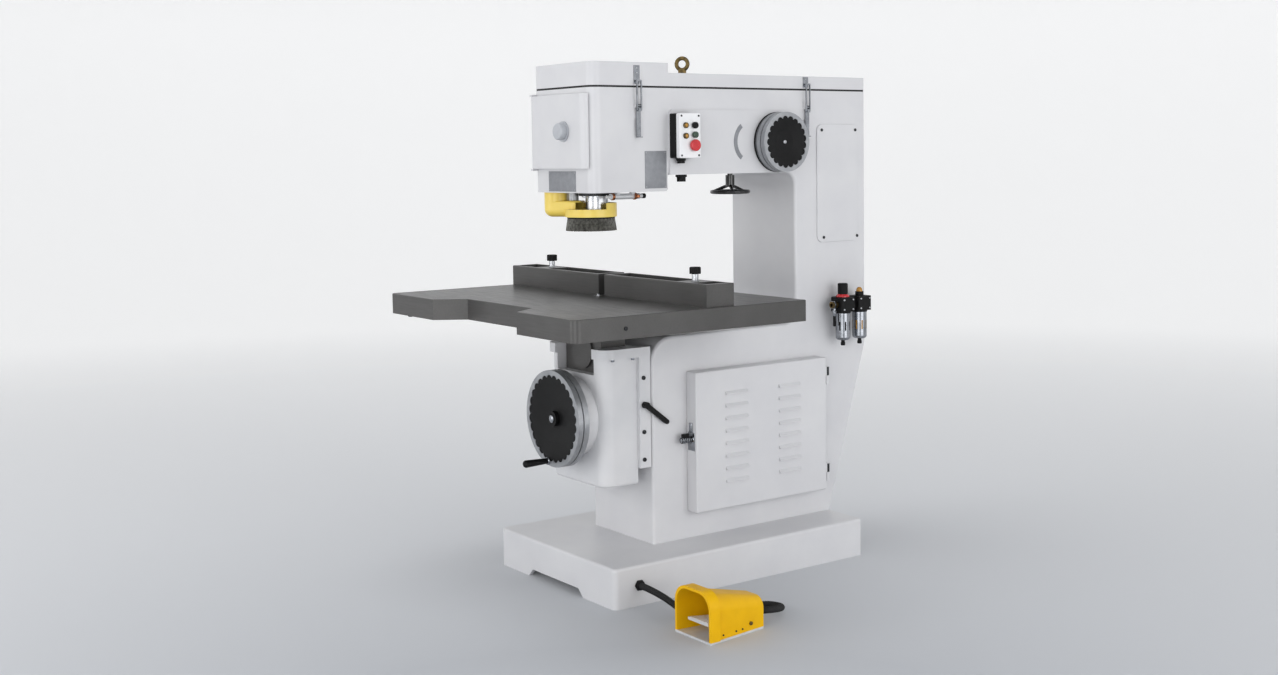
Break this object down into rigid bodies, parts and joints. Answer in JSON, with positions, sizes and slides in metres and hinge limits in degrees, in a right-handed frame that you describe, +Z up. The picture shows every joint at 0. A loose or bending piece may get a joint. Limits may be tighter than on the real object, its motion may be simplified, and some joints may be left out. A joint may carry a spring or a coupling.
{
  "type": "overarm pin router",
  "caption": "Overarm pin router: C-shaped hollow frame with belt-driven plunging spindle, dust hood, split fence, notched table on a hand-wheel knee, louvred cabinet and hosed foot pedal.",
  "frame": {"origin": "on the floor, under the centre of the base", "axes": "+X to the operator's right, +Y to the rear, +Z up; the operator stands at -Y"},
  "size_m": [1.284, 1.44, 1.645],
  "materials": {
    "body_paint": "satin",
    "cast_iron": "machined",
    "knee_paint": "satin",
    "bright_steel": "brushed",
    "dark_steel": "satin",
    "chrome_plate": "polished",
    "aluminium_cast": "turned",
    "yellow_paint": "gloss",
    "black_plastic": "matte",
    "white_plastic": "satin",
    "grey_plastic": "satin",
    "red_plastic": "gloss",
    "green_plastic": "gloss",
    "black_rubber": "matte",
    "brass_metal": "satin",
    "bristle_fibre": "matte"
  },
  "bodies": {
    "frame": {"base": "body_paint", "column_frame": "body_paint", "column_way": "cast_iron", "side_cover": "body_paint", "lid_seal": "black_rubber", "eye_bolt": "brass_metal", "quill_guide": "dark_steel", "bearing_bridge": "cast_iron", "feed_cylinder": "aluminium_cast", "drive_belt": "black_rubber", "electrics_panel": "grey_plastic", "control_box": "black_plastic", "control_panel": "white_plastic", "dust_hood": "yellow_paint", "brush_skirt": "bristle_fibre", "spindle_lock": "bright_steel", "air_unit": "black_plastic", "air_bowls": "aluminium_cast", "air_inlet": "brass_metal", "pedal_base": "aluminium_cast", "pedal_guard": "yellow_paint", "air_hose": "black_rubber"},
    "knee": {"knee": "knee_paint", "table": "cast_iron"},
    "front_wheel": {"front_wheel": "aluminium_cast", "front_dish": "black_plastic"},
    "crank": {"crank_handle": "black_plastic"},
    "lift_screw": {"lift_screw": "bright_steel"},
    "clamp": {"knee_clamp": "black_plastic"},
    "left_fence": {"left_fence": "cast_iron"},
    "right_fence": {"right_fence": "cast_iron"},
    "left_knob": {"left_fence_knob": "black_plastic"},
    "right_knob": {"right_fence_knob": "black_plastic"},
    "pin": {"guide_pin": "bright_steel"},
    "quill": {"quill": "bright_steel", "spindle_bearings": "bright_steel"},
    "spindle": {"spindle": "bright_steel", "collet_nut": "bright_steel"},
    "pulley": {"spindle_pulley": "aluminium_cast"},
    "carriage": {"motor_carriage": "cast_iron", "motor": "body_paint"},
    "rotor": {"motor_pulley": "aluminium_cast"},
    "tension": {"tension_wheel": "aluminium_cast", "tension_dish": "black_plastic"},
    "lock": {"lock_wheel": "black_plastic"},
    "lid": {"lid": "body_paint", "latch_keepers": "chrome_plate"},
    "front_lever": {"front_latch_lever": "chrome_plate"},
    "rear_lever": {"rear_latch_lever": "chrome_plate"},
    "front_bail": {"front_latch_bail": "chrome_plate"},
    "rear_bail": {"rear_latch_bail": "chrome_plate"},
    "cover": {"front_cover": "body_paint"},
    "cover_knob": {"cover_knob": "grey_plastic"},
    "door": {"door": "body_paint"},
    "door_latch": {"door_latch": "black_plastic"},
    "start": {"start_button": "black_plastic"},
    "stop": {"stop_button": "green_plastic"},
    "emergency": {"emergency_stop": "red_plastic"},
    "regulator": {"regulator_knob": "black_plastic"},
    "treadle": {"treadle": "aluminium_cast"}
  },
  "joints": [
    {"name": "knee_lift", "type": "slide", "parent": "frame", "child": "knee", "axis": [0, 0, 1], "range_m": [-0.05, 0.07]},
    {"name": "wheel_turn", "type": "hinge", "parent": "knee", "child": "front_wheel", "pos_m": [0, -0.45, 0.524], "axis": [0, 1, 0], "range_deg": [-1900, 2600]},
    {"name": "screw_turn", "type": "hinge", "parent": "knee", "child": "lift_screw", "pos_m": [0, -0.33, 0.4], "axis": [0, 0, 1], "range_deg": [-1900, 2600]},
    {"name": "crank_spin", "type": "hinge", "parent": "front_wheel", "child": "crank", "pos_m": [-0.02869, -0.54, 0.38901], "axis": [0, 1, 0], "continuous": true},
    {"name": "clamp_turn", "type": "hinge", "parent": "knee", "child": "clamp", "pos_m": [0.17, -0.268, 0.563], "axis": [1, 0, 0], "range_deg": [-25, 40]},
    {"name": "left_fence_slide", "type": "slide", "parent": "knee", "child": "left_fence", "axis": [1, 0, 0], "range_m": [-0.005, 0.008]},
    {"name": "right_fence_slide", "type": "slide", "parent": "knee", "child": "right_fence", "axis": [1, 0, 0], "range_m": [-0.008, 0.012]},
    {"name": "left_knob_turn", "type": "hinge", "parent": "left_fence", "child": "left_knob", "pos_m": [-0.368, -0.258, 0.975], "axis": [0, 0, 1], "range_deg": [0, 180]},
    {"name": "right_knob_turn", "type": "hinge", "parent": "right_fence", "child": "right_knob", "pos_m": [0.413, -0.258, 0.975], "axis": [0, 0, 1], "range_deg": [0, 180]},
    {"name": "pin_lift", "type": "slide", "parent": "knee", "child": "pin", "axis": [0, 0, 1], "range_m": [0, 0.012]},
    {"name": "quill_plunge", "type": "slide", "parent": "frame", "child": "quill", "axis": [0, 0, -1], "range_m": [0, 0.08]},
    {"name": "motor_slide", "type": "slide", "parent": "frame", "child": "carriage", "axis": [0, -1, 0], "range_m": [0, 0.02], "deforming": ["drive_belt"]},
    {"name": "tension_turn", "type": "hinge", "parent": "frame", "child": "tension", "pos_m": [0.15, 0.268, 1.365], "axis": [1, 0, 0], "range_deg": [0, 58]},
    {"name": "motor_spin", "type": "hinge", "parent": "carriage", "child": "rotor", "pos_m": [0, 0.51, 1.4], "axis": [0, 0, 1], "continuous": true},
    {"name": "pulley_spin", "type": "hinge", "parent": "frame", "child": "pulley", "pos_m": [0, -0.322, 1.45], "axis": [0, 0, 1], "continuous": true},
    {"name": "spindle_spin", "type": "hinge", "parent": "quill", "child": "spindle", "pos_m": [0, -0.322, 1.3], "axis": [0, 0, 1], "continuous": true},
    {"name": "lock_turn", "type": "hinge", "parent": "frame", "child": "lock", "pos_m": [0, 0.212, 1.25], "axis": [0, 0, 1], "range_deg": [0, 270]},
    {"name": "lid_open", "type": "hinge", "parent": "frame", "child": "lid", "pos_m": [-0.171, 0.11, 1.536], "axis": [0, -1, 0], "range_deg": [0, 80]},
    {"name": "front_latch_turn", "type": "hinge", "parent": "frame", "child": "front_lever", "pos_m": [0.174, -0.282, 1.478], "axis": [0, -1, 0], "range_deg": [0, 100]},
    {"name": "front_bail_turn", "type": "hinge", "parent": "front_lever", "child": "front_bail", "pos_m": [0.178, -0.282, 1.466], "axis": [0, -1, 0], "range_deg": [-101, 1]},
    {"name": "rear_latch_turn", "type": "hinge", "parent": "frame", "child": "rear_lever", "pos_m": [0.174, 0.4, 1.478], "axis": [0, -1, 0], "range_deg": [0, 100]},
    {"name": "rear_bail_turn", "type": "hinge", "parent": "rear_lever", "child": "rear_bail", "pos_m": [0.178, 0.4, 1.466], "axis": [0, -1, 0], "range_deg": [-101, 1]},
    {"name": "cover_open", "type": "hinge", "parent": "frame", "child": "cover", "pos_m": [-0.145, -0.459, 1.4], "axis": [0, 0, -1], "range_deg": [0, 110]},
    {"name": "cover_knob_turn", "type": "hinge", "parent": "cover", "child": "cover_knob", "pos_m": [0.045, -0.48, 1.403], "axis": [0, -1, 0], "range_deg": [0, 90]},
    {"name": "door_open", "type": "hinge", "parent": "frame", "child": "door", "pos_m": [0.209, 0.45, 0.43], "axis": [0, 0, 1], "range_deg": [0, 105]},
    {"name": "door_latch_turn", "type": "hinge", "parent": "door", "child": "door_latch", "pos_m": [0.189, -0.12, 0.44], "axis": [0, 1, 0], "range_deg": [0, 90]},
    {"name": "start_press", "type": "slide", "parent": "frame", "child": "start", "axis": [-1, 0, 0], "range_m": [0, 0.004], "stiffness_N_per_m": 500, "springref_m": -0.002},
    {"name": "stop_press", "type": "slide", "parent": "frame", "child": "stop", "axis": [-1, 0, 0], "range_m": [0, 0.004], "stiffness_N_per_m": 500, "springref_m": -0.002},
    {"name": "emergency_press", "type": "slide", "parent": "frame", "child": "emergency", "axis": [-1, 0, 0], "range_m": [0, 0.004], "stiffness_N_per_m": 700, "springref_m": -0.002},
    {"name": "regulator_turn", "type": "hinge", "parent": "frame", "child": "regulator", "pos_m": [0.216, 0.516, 0.87], "axis": [0, 0, 1], "range_deg": [0, 300]},
    {"name": "treadle_press", "type": "hinge", "parent": "frame", "child": "treadle", "pos_m": [0.659, -0.312, 0.026], "axis": [1, 0, 0], "range_deg": [0, 7], "stiffness_Nm_per_rad": 8, "springref_deg": -11.46}
  ],
  "couplings": [
    {"joint": "wheel_turn", "follows": "knee_lift", "rad_per_m": 628.3},
    {"joint": "screw_turn", "follows": "knee_lift", "rad_per_m": 628.3},
    {"joint": "tension_turn", "follows": "motor_slide", "rad_per_m": 50},
    {"joint": "pulley_spin", "follows": "motor_spin", "ratio": 2.6667},
    {"joint": "spindle_spin", "follows": "motor_spin", "ratio": 2.6667},
    {"joint": "front_bail_turn", "follows": "front_latch_turn", "ratio": -1},
    {"joint": "rear_bail_turn", "follows": "rear_latch_turn", "ratio": -1}
  ]
}
